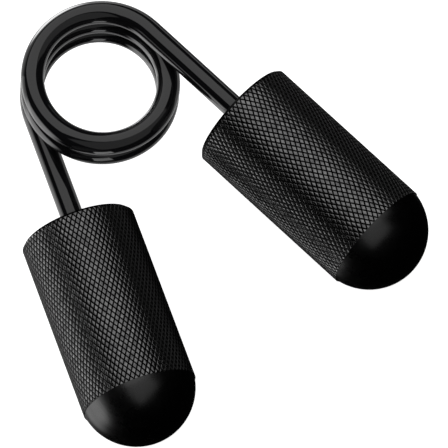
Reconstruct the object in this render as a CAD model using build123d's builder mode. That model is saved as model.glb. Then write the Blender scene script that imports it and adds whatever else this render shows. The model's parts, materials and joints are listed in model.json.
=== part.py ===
"""A torsion-spring hand grip strengthener, lying on a table as it comes to rest.

One steel wire is close-wound into a coil with two straight legs, and each leg is
pressed into a blind bore in a thick knurled handle with a domed end. The part's
frame is the table: +Z is up, the coil is at the back (+Y) and the two domed ends
are at the front. The coil's axis leans by rest_tilt, because the handles are set
a coil height apart and both of them rest on the table. Lengths are in millimetres.
"""

from build123d import *

import os
from math import asin, atan2, cos, degrees, pi, radians, sin, tan

# Driving dimensions: the spring
wire_diameter = 6.35
coil_radius = 18.55  # from the coil's axis to the middle of the wire
coil_pitch = 6.65  # 0.3 mm of air between neighbouring turns
leg_splay = 13.2  # degrees between each leg and the line midway between the legs
leg_exposed = 34.8  # from the coil to the mouth of the handle
leg_in_handle = 40.0
leg_bend_radius = 32.0  # the gentle bend that turns the coil's climb into a flat leg
leg_tip_chamfer = 0.8

# Driving dimensions: the handles
handle_diameter = 32.0  # over the crests of the knurling
handle_length = 64.1  # from its mouth to the top of its dome
grip_length = 50.8  # the knurled cylinder, from its mouth to the dome
dome_radius = 16.0  # of the sphere that the dome is a cap of
mouth_chamfer = 0.8
bore_clearance = 0.02  # on the radius, all round the leg
bore_depth = 41.0
drill_point_angle = 118.0
bore_countersink = 0.6

# The coil: two whole turns, and then on to where the second leg leaves
handle_radius = handle_diameter / 2
bore_radius = wire_diameter / 2 + bore_clearance
coil_turns = 2.5 - 2 * leg_splay / 360
coil_height = coil_pitch * coil_turns
coil_climb = atan2(coil_pitch, 2 * pi * coil_radius)
bend_run = leg_bend_radius * sin(coil_climb)
bend_drop = leg_bend_radius * (1 - cos(coil_climb))
leg_offset = coil_height / 2 + bend_drop  # of each leg from the middle of the coil
leg_length = leg_exposed + leg_in_handle
grip_end_run = leg_exposed + grip_length  # along a leg, where the knurling ends
dome_centre = handle_length - dome_radius  # along a handle, from its mouth
dome_edge_angle = asin((grip_length - dome_centre) / dome_radius)

# How it lies: the left handle touches along its whole length, and the right one
# touches with the far edge of its knurling, which is rest_reach across from it.
splay = radians(leg_splay)
rest_reach = 2 * coil_radius * cos(splay) ** 2 + grip_end_run * sin(2 * splay)
tilt = atan2(2 * leg_offset, rest_reach)
for _ in range(4):
    droop = asin(sin(tilt) * sin(2 * splay))
    rim_lift = handle_radius * (1 - cos(droop))
    tilt = asin((2 * leg_offset * cos(tilt) + rim_lift) / rest_reach)
rest_tilt = degrees(tilt)
left_run = Vector(-sin(splay), -cos(splay), 0)
right_run = Vector(sin(splay), -cos(splay), 0)


def leaned(vector):
    """A direction or a place of the upright spring, as it leans at rest."""
    return Vector(vector).rotate(Axis((0, 0, 0), -left_run), rest_tilt)


# Where each leg leaves the coil, and the middle of each dome, from the coil's middle
left_leg_start = leaned((-coil_radius * cos(splay), coil_radius * sin(splay), -leg_offset))
right_leg_start = leaned((coil_radius * cos(splay), coil_radius * sin(splay), leg_offset))
left_dome = left_leg_start + leaned(left_run) * (leg_exposed + dome_centre)
right_dome = right_leg_start + leaned(right_run) * (leg_exposed + dome_centre)

# The origin is on the table, under the middle of the whole part
front = min(left_dome.Y, right_dome.Y) - dome_radius
back = coil_radius + wire_diameter / 2
coil_centre = Vector(
    -(left_dome.X + right_dome.X) / 2,
    -(front + back) / 2,
    handle_radius - left_leg_start.Z,
)

# The coil's plane has its Z along the coil's axis, and its Y midway between the legs
coil_plane = Plane(coil_centre, x_dir=leaned((1, 0, 0)), z_dir=leaned((0, 0, 1)))


def mouth_plane(leg_start, run):
    """The plane of a handle's mouth, with its Z along the leg towards the dome."""
    mouth = coil_centre + leg_start + leaned(run) * leg_exposed
    return Plane(mouth, x_dir=coil_plane.z_dir, z_dir=leaned(run))


def knurled_handle(mouth):
    """One handle, turned about its leg, with the blind bore that takes the leg."""
    grip_end = (handle_radius, grip_length)
    dome_edge = (dome_radius * cos(dome_edge_angle), grip_length)
    dome_start, dome_sweep = degrees(dome_edge_angle), 90 - degrees(dome_edge_angle)
    drill_tip = (0, bore_depth + bore_radius / tan(radians(drill_point_angle / 2)))
    profile_plane = Plane(mouth.origin, x_dir=mouth.x_dir, z_dir=-mouth.y_dir)
    with BuildPart() as handle:
        with BuildSketch(profile_plane):
            with BuildLine():
                Polyline(
                    drill_tip,
                    (bore_radius, bore_depth),
                    (bore_radius, bore_countersink),
                    (bore_radius + bore_countersink, 0),
                    (handle_radius - mouth_chamfer, 0),
                    (handle_radius, mouth_chamfer),
                    grip_end,
                    dome_edge,
                )
                CenterArc((0, dome_centre), dome_radius, dome_start, dome_sweep)
                Line((0, handle_length), drill_tip)
            make_face()
        revolve(axis=Axis(mouth.origin, mouth.z_dir))
    return handle


# The wire's path, drawn from the start of the coil: its Z is the coil's axis, and its
# X goes through the point where the left leg leaves the coil
with BuildLine() as wire_path:
    coil = Helix(coil_pitch, coil_height, coil_radius, lefthand=True)
    left_bend_end = coil @ 0 + Vector(0, bend_run, -bend_drop)
    TangentArc(coil @ 0, left_bend_end, tangent=coil % 0 * -1)
    Line(left_bend_end, left_bend_end + Vector(0, leg_length - bend_run, 0))
    right_leg = Vector(coil % 1).project_to_plane(Plane.XY).normalized()
    right_bend_end = coil @ 1 + right_leg * bend_run + Vector(0, 0, bend_drop)
    TangentArc(coil @ 1, right_bend_end, tangent=coil % 1)
    Line(right_bend_end, right_bend_end + right_leg * (leg_length - bend_run))
coil_start = coil_plane.location * Location((0, 0, -coil_height / 2), (0, 0, 180 - leg_splay))
wire_line = coil_start * wire_path.wire()

with BuildPart() as torsion_spring:
    with BuildSketch(Plane(wire_line @ 0, z_dir=wire_line % 0)):
        Circle(wire_diameter / 2)
    sweep(path=wire_line)
    chamfer(torsion_spring.faces().filter_by(GeomType.PLANE).edges(), leg_tip_chamfer)

left_handle = knurled_handle(mouth_plane(left_leg_start, left_run))
right_handle = knurled_handle(mouth_plane(right_leg_start, right_run))

torsion_spring.part.label = "torsion_spring"
left_handle.part.label = "left_handle"
right_handle.part.label = "right_handle"

os.makedirs("parts", exist_ok=True)
export_step(torsion_spring.part, "parts/torsion_spring.step")
export_step(left_handle.part, "parts/left_handle.step")
export_step(right_handle.part, "parts/right_handle.step")
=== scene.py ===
"""A knurled hand grip strengthener lying on a pale table.

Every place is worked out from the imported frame: the hinge gives the coil's axis, and
the two grip mounts give the lines that the spring's legs and the handles follow.
Lengths are in metres.
"""

import json
import math

import bpy
from mathutils import Matrix, Vector


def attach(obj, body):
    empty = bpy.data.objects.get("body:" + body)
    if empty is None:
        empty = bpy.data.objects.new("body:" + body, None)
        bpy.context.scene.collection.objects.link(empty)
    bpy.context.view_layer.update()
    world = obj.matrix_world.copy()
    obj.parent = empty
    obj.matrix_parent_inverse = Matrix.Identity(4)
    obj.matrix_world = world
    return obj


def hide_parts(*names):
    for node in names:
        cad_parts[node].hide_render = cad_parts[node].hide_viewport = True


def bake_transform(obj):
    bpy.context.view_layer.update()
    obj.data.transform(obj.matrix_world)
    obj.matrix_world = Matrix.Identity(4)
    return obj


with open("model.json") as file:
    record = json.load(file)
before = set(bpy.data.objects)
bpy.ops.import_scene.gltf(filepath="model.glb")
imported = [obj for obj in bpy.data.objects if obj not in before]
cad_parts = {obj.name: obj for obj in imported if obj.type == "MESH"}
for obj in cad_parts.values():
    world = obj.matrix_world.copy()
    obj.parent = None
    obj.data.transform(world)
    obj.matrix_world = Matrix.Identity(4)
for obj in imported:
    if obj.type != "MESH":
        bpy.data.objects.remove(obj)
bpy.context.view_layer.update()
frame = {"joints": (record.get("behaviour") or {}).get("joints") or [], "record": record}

MM = 0.001

# The spring, as in the CAD source
WIRE_RADIUS = 3.175 * MM
COIL_PITCH = 6.65 * MM
TURNS_WITH_LEGS_PARALLEL = 2.5
LEG_EXPOSED = 34.8 * MM
LEG_LENGTH = 74.8 * MM
LEG_BEND_RADIUS = 32 * MM
LEG_TIP_CHAMFER = 0.8 * MM

# The handles, as in the CAD source
GRIP_RADIUS = 16 * MM
GRIP_LENGTH = 50.8 * MM
HANDLE_LENGTH = 64.1 * MM
DOME_RADIUS = 16 * MM
DOME_CENTRE = HANDLE_LENGTH - DOME_RADIUS
MOUTH_CHAMFER = 0.8 * MM
BORE_RADIUS = 3.195 * MM
BORE_DEPTH = 41 * MM
BORE_COUNTERSINK = 0.6 * MM
DRILL_HALF_ANGLE = math.radians(59)
DRILL_TIP_LENGTH = BORE_RADIUS / math.tan(DRILL_HALF_ANGLE)

# The knurling: diamonds in staggered rows, each with a flat land on its crest and a worn
# shoulder round the land. The land and the shoulder end at these shares of the way from
# the crest's middle to the crossings of the grooves.
KNURL_TEETH = 69
KNURL_ROW_HEIGHT = 1.2 * MM
KNURL_DEPTH = 0.26 * MM
KNURL_LAND = 0.46
KNURL_SHOULDER = 0.68
KNURL_SHOULDER_DROP = 0.035 * MM

# The handle's material slots
FLANK, DOME, CREST, MOUTH, END_FACE = range(5)

# How finely round things are divided
WIRE_SIDES = 48
COIL_STEPS_PER_TURN = 120
LEG_STEPS = 24
BEND_STEPS = 4
DOME_STEPS = 30
SHARP_ANGLE = math.radians(26)

# The camera, placed by the point that it looks at and the direction that it looks from,
# with azimuth 0 on the -Y side
CAMERA_AZIMUTH = math.radians(-5.04)
CAMERA_ELEVATION = math.radians(70.83)
CAMERA_ROLL = math.radians(-29.48)
CAMERA_TARGET = Vector((7.08, -11.97, 3.69)) * MM
CAMERA_DISTANCE = 2.398
CAMERA_LENS = 708.3
CAMERA_CLIP_END = 100

# The room: how brightly it lights the table, how bright its dark walls are in a
# reflection, and the soft bright patches on them, each as azimuth, elevation, inner and
# outer radius in degrees, and radiance
ROOM_LIGHT = 0.5
DARK_WALLS = 0.004
REFLECTED_PATCHES = (
    (95, -25, 28, 55, 0.82),
    (87, -12, 8, 22, 9.0),
    (170, -8, 12, 29, 3.0),
    (165, -32, 5, 22, 2.0),
)
FLOOR_HALF_WIDTH = 20

# The front of the coil's lowest turns, which one small light stands close to
COIL_FRONT = Vector((-10, 16.8, 23)) * MM


# --- The frame's lines ---

def leg_line(mount_name, coil_centre):
    """A leg's direction towards the dome, and where it leaves the coil."""
    mount = next(m for m in frame["record"]["mounts"] if m["name"] == mount_name)
    run = Vector(mount["axis"]).normalized()
    on_line = Vector(mount["pos_m"])
    return run, on_line + run * (coil_centre - on_line).dot(run)


hinge = frame["joints"][0]
coil_centre = Vector(hinge["pos_m"])
coil_axis = Vector(hinge["axis"]).normalized()
left_run, left_start = leg_line("left_grip", coil_centre)
right_run, right_start = leg_line("right_grip", coil_centre)
leg_offset = (coil_centre - left_start).dot(coil_axis)
coil_spoke = left_start - coil_centre + coil_axis * leg_offset
coil_radial = coil_spoke.normalized()
coil_radius = coil_spoke.length
coil_turns = TURNS_WITH_LEGS_PARALLEL - left_run.angle(right_run) / math.tau
coil_height = COIL_PITCH * coil_turns
coil_climb = math.atan2(COIL_PITCH, math.tau * coil_radius)
bend_run = LEG_BEND_RADIUS * math.sin(coil_climb)


# --- Camera ---

def add_camera():
    """The photograph's viewpoint, with a long lens."""
    back = Vector((
        math.sin(CAMERA_AZIMUTH) * math.cos(CAMERA_ELEVATION),
        -math.cos(CAMERA_AZIMUTH) * math.cos(CAMERA_ELEVATION),
        math.sin(CAMERA_ELEVATION),
    ))
    level = Vector((math.cos(CAMERA_AZIMUTH), math.sin(CAMERA_AZIMUTH), 0))
    right = Matrix.Rotation(CAMERA_ROLL, 3, back) @ level
    turned = Matrix((right, back.cross(right), back)).transposed().to_4x4()
    data = bpy.data.cameras.new("camera")
    data.lens = CAMERA_LENS
    data.clip_end = CAMERA_CLIP_END
    camera = bpy.data.objects.new("camera", data)
    camera.matrix_world = Matrix.Translation(CAMERA_TARGET + back * CAMERA_DISTANCE) @ turned
    bpy.context.scene.collection.objects.link(camera)
    bpy.context.scene.camera = camera


# --- Mesh helpers ---

class Shell:
    """Points and faces of one piece, gathered ring by ring."""

    def __init__(self):
        self.points = []
        self.faces = []
        self.slots = []

    def add_point(self, point):
        """Keeps a point and returns its number."""
        self.points.append(point)
        return len(self.points) - 1

    def add_face(self, corners, slot=0):
        """Keeps a face with these corners and this material slot."""
        self.faces.append(corners)
        self.slots.append(slot)

    def bridge(self, ring, next_ring, slot=0):
        """Quads between two closed rings with as many points each."""
        count = len(ring)
        for i in range(count):
            j = (i + 1) % count
            self.add_face((ring[i], ring[j], next_ring[j], next_ring[i]), slot)

    def cap(self, ring, tip, slot=0):
        """Triangles from a closed ring to one point."""
        for i, start in enumerate(ring):
            self.add_face((start, ring[(i + 1) % len(ring)], tip), slot)

    def build(self, name, materials):
        """The object, smooth except where its faces meet at more than SHARP_ANGLE."""
        mesh = bpy.data.meshes.new(name)
        mesh.from_pydata(self.points, [], self.faces)
        mesh.polygons.foreach_set("material_index", self.slots)
        mesh.polygons.foreach_set("use_smooth", [True] * len(self.faces))
        for material in materials:
            mesh.materials.append(material)
        mesh.set_sharp_from_angle(angle=SHARP_ANGLE)
        mesh.update()
        made = bpy.data.objects.new(name, mesh)
        bpy.context.scene.collection.objects.link(made)
        return made


# --- The spring ---

def leg_stations():
    """A leg as (distance from the coil, radius), from its chamfered tip to its bend."""
    to_chamfer = LEG_LENGTH - LEG_TIP_CHAMFER
    stations = [(LEG_LENGTH, WIRE_RADIUS - LEG_TIP_CHAMFER), (to_chamfer, WIRE_RADIUS)]
    for step in range(1, LEG_STEPS + 1):
        share = step / LEG_STEPS
        stations.append((to_chamfer * (1 - share) + bend_run * share, WIRE_RADIUS))
    return stations


def bend_stations(start, run, climb_sign):
    """From the end of a straight leg into the coil's climb, which is up its axis or down it."""
    stations = []
    for step in range(1, BEND_STEPS):
        angle = coil_climb * step / BEND_STEPS
        ahead = bend_run - LEG_BEND_RADIUS * math.sin(angle)
        climb = LEG_BEND_RADIUS * (1 - math.cos(angle))
        place = start + run * ahead + coil_axis * climb_sign * climb
        towards = -run * math.cos(angle) + coil_axis * climb_sign * math.sin(angle)
        stations.append((place, towards, WIRE_RADIUS))
    return stations


def coil_stations():
    """Round and up the coil, from the left leg's bend to the right leg's."""
    side = coil_axis.cross(coil_radial)
    stations = []
    steps = round(COIL_STEPS_PER_TURN * coil_turns)
    for step in range(steps + 1):
        angle = math.tau * coil_turns * step / steps
        radial = coil_radial * math.cos(angle) - side * math.sin(angle)
        along = -coil_radial * math.sin(angle) - side * math.cos(angle)
        rise = coil_height * (step / steps - 0.5)
        place = coil_centre + radial * coil_radius + coil_axis * rise
        towards = along * math.cos(coil_climb) + coil_axis * math.sin(coil_climb)
        stations.append((place, towards, WIRE_RADIUS))
    return stations


def wire_stations():
    """The wire's centre line as (place, direction, radius), from the left tip to the right tip."""
    leg = leg_stations()
    stations = [(left_start + left_run * length, -left_run, radius) for length, radius in leg]
    stations += bend_stations(left_start, left_run, 1)
    stations += coil_stations()
    right_bend = bend_stations(right_start, right_run, -1)
    stations += [(place, -towards, radius) for place, towards, radius in reversed(right_bend)]
    stations += [(right_start + right_run * length, right_run, radius) for length, radius in reversed(leg)]
    return stations


def make_spring(material):
    """One wire: both legs and the close-wound coil between them."""
    shell = Shell()
    rings = []
    stations = wire_stations()
    for place, towards, radius in stations:
        up = (coil_axis - towards * coil_axis.dot(towards)).normalized()
        out = towards.cross(up)
        ring = []
        for side in range(WIRE_SIDES):
            angle = math.tau * side / WIRE_SIDES
            spoke = (up * math.cos(angle) + out * math.sin(angle)) * radius
            ring.append(shell.add_point(place + spoke))
        rings.append(ring)
    for ring, next_ring in zip(rings, rings[1:]):
        shell.bridge(next_ring, ring)
    shell.cap(rings[0], shell.add_point(stations[0][0]))
    shell.cap(rings[-1][::-1], shell.add_point(stations[-1][0]))
    return shell.build("spring_wire_coil", [material])


# --- The handles ---

class Turning(Shell):
    """A shell about a handle's own axis: places are (turn, radius, distance from the mouth)."""

    def __init__(self, mouth, run, across):
        super().__init__()
        self.mouth, self.run, self.across = mouth, run, across
        self.beside = run.cross(across)

    def place(self, turn, radius, along):
        """One point, and its number."""
        angle = math.tau * turn
        outward = self.across * math.cos(angle) + self.beside * math.sin(angle)
        return self.add_point(self.mouth + outward * radius + self.run * along)

    def ring(self, turns, radius, along):
        """A level ring with a point at each of these turns."""
        return [self.place(turn, radius, along) for turn in turns]


def knurl(shell):
    """The knurled grip. Returns its edge at the mouth and its edge at the dome, each with its turns.

    Crests and the deep crossings between them lie like a chessboard's squares: columns
    round the handle, rows along it. Each crest is three diamonds, one inside another: the
    straight grooves that join its neighbouring crossings, its shoulder and its land.
    """
    columns = 2 * KNURL_TEETH
    rows = round((GRIP_LENGTH - MOUTH_CHAMFER) / KNURL_ROW_HEIGHT)
    row_height = (GRIP_LENGTH - MOUTH_CHAMFER) / rows
    corners = {"after": (1, 0), "above": (0, 1), "before": (-1, 0), "below": (0, -1)}

    def place(column, row, radius):
        along = MOUTH_CHAMFER + row * row_height
        if row == 0:
            along -= GRIP_RADIUS - radius  # the first row lies on the chamfer's cone
        return shell.place(column / columns, radius, along)

    crossings = {}
    for row in range(rows + 1):
        for column in range((row + 1) % 2, columns, 2):
            crossings[column, row] = place(column, row, GRIP_RADIUS - KNURL_DEPTH)

    mouth_edge, dome_edge = {}, {}
    for row in range(rows + 1):
        for column in range(row % 2, columns, 2):
            inside = {name: step for name, step in corners.items() if 0 <= row + step[1] <= rows}
            diamonds = [{
                name: crossings[(column + right) % columns, row + up]
                for name, (right, up) in inside.items()
            }]
            for reach, drop in ((KNURL_SHOULDER, KNURL_SHOULDER_DROP), (KNURL_LAND, 0)):
                diamonds.append({
                    name: place(column + right * reach, row + up * reach, GRIP_RADIUS - drop)
                    for name, (right, up) in inside.items()
                })
                for edge_row, edge in ((0, mouth_edge), (rows, dome_edge)):
                    if row == edge_row:
                        edge[column - reach] = diamonds[-1]["before"]
                        edge[column + reach] = diamonds[-1]["after"]
                        edge[column + 1] = diamonds[0]["after"]
            for outer, inner, slot in zip(diamonds, diamonds[1:], (FLANK, CREST)):
                for first, second in zip(corners, ("above", "before", "below", "after")):
                    if first in inside and second in inside:
                        quad = (outer[first], outer[second], inner[second], inner[first])
                        shell.add_face(quad, slot)
            shell.add_face(tuple(diamonds[-1].values()), CREST)

    edges = []
    for edge in (mouth_edge, dome_edge):
        order = sorted(edge)
        edges.append(([edge[column] for column in order], [column / columns for column in order]))
    return edges


def make_handle(name, start, run, materials):
    """One handle: the knurled grip, the dome, and the drilled bore that holds the leg."""
    shell = Turning(start + run * LEG_EXPOSED, run, coil_axis)
    (mouth_edge, mouth_turns), (dome_edge, dome_turns) = knurl(shell)

    mouth_profile = (
        (BORE_RADIUS, BORE_DEPTH),
        (BORE_RADIUS, BORE_COUNTERSINK),
        (BORE_RADIUS + BORE_COUNTERSINK, 0),
        (GRIP_RADIUS - MOUTH_CHAMFER, 0),
    )
    rings = [shell.ring(mouth_turns, radius, along) for radius, along in mouth_profile]
    rings.append(mouth_edge)
    for ring, next_ring, slot in zip(rings, rings[1:], (MOUTH, MOUTH, END_FACE, MOUTH)):
        shell.bridge(ring, next_ring, slot)
    shell.cap(rings[0][::-1], shell.place(0, 0, BORE_DEPTH + DRILL_TIP_LENGTH), MOUTH)

    rings = [dome_edge]
    edge_angle = math.asin((GRIP_LENGTH - DOME_CENTRE) / DOME_RADIUS)
    for step in range(DOME_STEPS):
        angle = edge_angle + (math.pi / 2 - edge_angle) * step / DOME_STEPS
        along = DOME_CENTRE + DOME_RADIUS * math.sin(angle)
        rings.append(shell.ring(dome_turns, DOME_RADIUS * math.cos(angle), along))
    for ring, next_ring in zip(rings, rings[1:]):
        shell.bridge(ring, next_ring, DOME)
    shell.cap(rings[-1], shell.place(0, 0, HANDLE_LENGTH), DOME)
    return shell.build(name, materials)


# --- Materials ---

def new_material(name):
    """A material, with its nodes, its links and its shader."""
    material = bpy.data.materials.new(name)
    material.use_nodes = True
    nodes = material.node_tree.nodes
    return material, nodes, material.node_tree.links, nodes["Principled BSDF"]


def grey(shade):
    """A neutral colour."""
    return (shade, shade, shade, 1)


def noise(nodes, links, scale):
    """A noise texture that lies in the row frame, so that it doesn't depend on UVs."""
    where = nodes.new("ShaderNodeTexCoord")
    texture = nodes.new("ShaderNodeTexNoise")
    texture.inputs["Scale"].default_value = scale
    texture.inputs["Detail"].default_value = 3.0
    links.new(where.outputs["Object"], texture.inputs["Vector"])
    return texture.outputs["Fac"]


def spread(nodes, links, value, low, high):
    """A noise's middle range, mapped to low and high."""
    mapped = nodes.new("ShaderNodeMapRange")
    mapped.inputs["From Min"].default_value = 0.3
    mapped.inputs["From Max"].default_value = 0.7
    mapped.inputs["To Min"].default_value = low
    mapped.inputs["To Max"].default_value = high
    links.new(value, mapped.inputs["Value"])
    return mapped.outputs["Result"]


def bump(nodes, links, shader, height, distance, strength):
    """Gives a shader's surface this relief."""
    node = nodes.new("ShaderNodeBump")
    node.inputs["Strength"].default_value = strength
    node.inputs["Distance"].default_value = distance
    links.new(height, node.inputs["Height"])
    links.new(node.outputs["Normal"], shader.inputs["Normal"])


def gloss_black_wire():
    """A thick glossy black coat over drawn wire."""
    material, nodes, links, shader = new_material("gloss_black_wire")
    shader.inputs["Base Color"].default_value = (0.003, 0.003, 0.0034, 1)
    shader.inputs["IOR"].default_value = 1.5
    ripple = noise(nodes, links, scale=260)
    links.new(spread(nodes, links, ripple, low=0.05, high=0.1), shader.inputs["Roughness"])
    bump(nodes, links, shader, ripple, distance=0.01 * MM, strength=0.4)
    return material


def satin_black(name, shade, ior, roughness_low, roughness_high, grain_scale):
    """Black-finished aluminium with a fine satin grain."""
    material, nodes, links, shader = new_material(name)
    shader.inputs["Base Color"].default_value = grey(shade)
    shader.inputs["IOR"].default_value = ior
    grain = noise(nodes, links, grain_scale)
    links.new(spread(nodes, links, grain, roughness_low, roughness_high), shader.inputs["Roughness"])
    bump(nodes, links, shader, grain, distance=0.01 * MM, strength=0.4)
    return material


def polished_black(name, shade, glancing_tint):
    """The smoother black of the dome and mouth, which stays dark even at a glancing angle."""
    material, nodes, links, shader = new_material(name)
    shader.inputs["Metallic"].default_value = 1.0
    shader.inputs["Base Color"].default_value = grey(shade)
    shader.inputs["Specular Tint"].default_value = grey(glancing_tint)
    grain = noise(nodes, links, scale=300)
    links.new(spread(nodes, links, grain, low=0.25, high=0.31), shader.inputs["Roughness"])
    bump(nodes, links, shader, grain, distance=0.005 * MM, strength=0.3)
    return material


def burnished_crest():
    """The crests of the knurling, where the black finish is rubbed down to dull metal."""
    material, nodes, links, shader = new_material("knurl_crest_burnished")
    shader.inputs["Metallic"].default_value = 1.0
    shader.inputs["Specular Tint"].default_value = grey(0.5)
    wear = noise(nodes, links, scale=700)
    ramp = nodes.new("ShaderNodeValToRGB")
    ramp.color_ramp.elements[0].position = 0.3
    ramp.color_ramp.elements[0].color = (0.07, 0.07, 0.071, 1)
    ramp.color_ramp.elements[1].position = 0.7
    ramp.color_ramp.elements[1].color = grey(0.17)
    links.new(wear, ramp.inputs["Fac"])
    links.new(ramp.outputs["Color"], shader.inputs["Base Color"])
    links.new(spread(nodes, links, wear, low=0.26, high=0.18), shader.inputs["Roughness"])
    return material


def make_handle_materials():
    """One material for each of the handle's slots, in their order."""
    return [
        satin_black("knurled_black", shade=0.0008, ior=1.3,
                    roughness_low=0.3, roughness_high=0.4, grain_scale=900),
        polished_black("dome_black", shade=0.048, glancing_tint=0.8),
        burnished_crest(),
        polished_black("mouth_black", shade=0.015, glancing_tint=0.2),
        satin_black("turned_face_black", shade=0.014, ior=1.5,
                    roughness_low=0.35, roughness_high=0.5, grain_scale=600),
    ]


# --- The studio ---

def add_floor():
    """A plain white table top, with a glow of its own that keeps the shadows on it pale."""
    mesh = bpy.data.meshes.new("floor")
    half = FLOOR_HALF_WIDTH
    corners = [(-half, -half, 0), (half, -half, 0), (half, half, 0), (-half, half, 0)]
    mesh.from_pydata(corners, [], [(0, 1, 2, 3)])
    material, _, _, shader = new_material("pale_table")
    shader.inputs["Base Color"].default_value = grey(0.88)
    shader.inputs["Roughness"].default_value = 0.9
    shader.inputs["Emission Color"].default_value = grey(1)
    shader.inputs["Emission Strength"].default_value = 0.8
    mesh.materials.append(material)
    floor = bpy.data.objects.new("floor", mesh)
    floor.visible_glossy = False  # the object mirrors the room and the lights alone
    floor.visible_shadow = False  # lights below the table top reach the object through it
    bpy.context.scene.collection.objects.link(floor)


def direction(azimuth, elevation):
    """A unit vector, from degrees round from +X and degrees up from level."""
    azimuth, elevation = math.radians(azimuth), math.radians(elevation)
    level = Vector((math.cos(azimuth), math.sin(azimuth), 0)) * math.cos(elevation)
    return level + Vector((0, 0, math.sin(elevation)))


def add_softbox(name, azimuth, elevation, side_azimuth, half_angles, radiance,
                receivers=(), about=Vector(), distance=1):
    """A rectangular area light, as wide and as high as it looks from the point about.

    Its width runs as nearly as it can along the level direction side_azimuth. It shines
    on the receivers only, or on everything if there are none.
    """
    towards = direction(azimuth, elevation)
    side = direction(side_azimuth, 0)
    side = (side - towards * side.dot(towards)).normalized()
    data = bpy.data.lights.new(name, "AREA")
    data.shape = "RECTANGLE"
    data.size, data.size_y = (2 * distance * math.tan(math.radians(half)) for half in half_angles)
    data.energy = math.pi * data.size * data.size_y * radiance
    light = bpy.data.objects.new(name, data)
    light.matrix_world = Matrix((side, towards.cross(side), towards)).transposed().to_4x4()
    light.location = about + towards * distance
    light.visible_camera = False
    bpy.context.scene.collection.objects.link(light)
    if receivers:
        collection = bpy.data.collections.new(name + "_receivers")
        for receiver in receivers:
            collection.objects.link(receiver)
        light.light_linking.receiver_collection = collection


def add_softboxes(spring, handles):
    """The studio's lights. Most shine on the gloss spring or on the satin handles alone."""
    add_softbox("overhead_softbox", azimuth=66, elevation=60.4, side_azimuth=10,
                half_angles=(36.5, 35.5), radiance=1.22)
    add_softbox("handle_fill", azimuth=285, elevation=62, side_azimuth=15,
                half_angles=(26, 20), radiance=0.6, receivers=handles)
    add_softbox("handle_side", azimuth=150, elevation=16, side_azimuth=60,
                half_angles=(14, 11), radiance=1.3, receivers=handles)
    add_softbox("spring_fill", azimuth=285, elevation=44, side_azimuth=15,
                half_angles=(44, 30), radiance=0.38, receivers=spring)
    add_softbox("spring_rim", azimuth=45, elevation=-8, side_azimuth=135,
                half_angles=(30, 8), radiance=0.9, receivers=spring)
    add_softbox("spring_glint", azimuth=231, elevation=-26, side_azimuth=141,
                half_angles=(8, 13), radiance=2.0, receivers=spring)
    add_softbox("coil_front_glint", azimuth=239, elevation=-18, side_azimuth=149,
                half_angles=(24, 17), radiance=2.2, receivers=spring,
                about=COIL_FRONT, distance=9 * MM)
    add_softbox("spring_low_fill", azimuth=350, elevation=-30, side_azimuth=80,
                half_angles=(26, 12), radiance=0.7, receivers=spring)
    add_softbox("spring_underlight", azimuth=0, elevation=-90, side_azimuth=0,
                half_angles=(45, 45), radiance=0.6, receivers=spring)
    add_softbox("spring_side", azimuth=141, elevation=-12, side_azimuth=51,
                half_angles=(13, 28), radiance=0.9, receivers=spring)


def mix(nodes, links, share, first, second):
    """The first value where share is 0, and the second where it is 1."""
    node = nodes.new("ShaderNodeMix")
    share_socket, _, first_socket, second_socket = node.inputs[:4]
    for socket, value in ((share_socket, share), (first_socket, first), (second_socket, second)):
        if isinstance(value, float):
            socket.default_value = value
        else:
            links.new(value, socket)
    return node.outputs[0]


def soft_patch(nodes, links, where, azimuth, elevation, inner, outer):
    """1 within the inner radius of a direction, falling to 0 at the outer one."""
    closeness = nodes.new("ShaderNodeVectorMath")
    closeness.operation = "DOT_PRODUCT"
    closeness.inputs[1].default_value = direction(azimuth, elevation)
    links.new(where, closeness.inputs[0])
    edge = nodes.new("ShaderNodeMapRange")
    edge.interpolation_type = "SMOOTHSTEP"
    edge.inputs["From Min"].default_value = math.cos(math.radians(outer))
    edge.inputs["From Max"].default_value = math.cos(math.radians(inner))
    links.new(closeness.outputs["Value"], edge.inputs["Value"])
    return edge.outputs["Result"]


def add_surroundings():
    """A white room for the camera and the table, which reflects as dark but for soft patches."""
    world = bpy.data.worlds.new("studio")
    world.use_nodes = True
    # Sampled as a lamp, the world would put ROOM_LIGHT into the reflections
    world.cycles.sampling_method = "NONE"
    nodes, links = world.node_tree.nodes, world.node_tree.links
    where = nodes.new("ShaderNodeTexCoord").outputs["Generated"]
    reflected = DARK_WALLS
    for azimuth, elevation, inner, outer, radiance in REFLECTED_PATCHES:
        patch = soft_patch(nodes, links, where, azimuth, elevation, inner, outer)
        reflected = mix(nodes, links, patch, reflected, radiance)
    path = nodes.new("ShaderNodeLightPath")
    lit = mix(nodes, links, path.outputs["Is Glossy Ray"], ROOM_LIGHT, reflected)
    seen = mix(nodes, links, path.outputs["Is Camera Ray"], lit, 1.0)
    links.new(seen, nodes["Background"].inputs["Color"])
    bpy.context.scene.world = world
    bpy.context.scene.view_settings.view_transform = "Standard"


add_camera()
spring = make_spring(gloss_black_wire())
handle_materials = make_handle_materials()
left_handle = make_handle("left_knurled_handle", left_start, left_run, handle_materials)
right_handle = make_handle("right_knurled_handle", right_start, right_run, handle_materials)

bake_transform(spring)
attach(left_handle, "left_half")
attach(right_handle, "right_half")
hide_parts("torsion_spring")
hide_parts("left_handle")
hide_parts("right_handle")

add_floor()
add_surroundings()
add_softboxes([spring], [left_handle, right_handle])
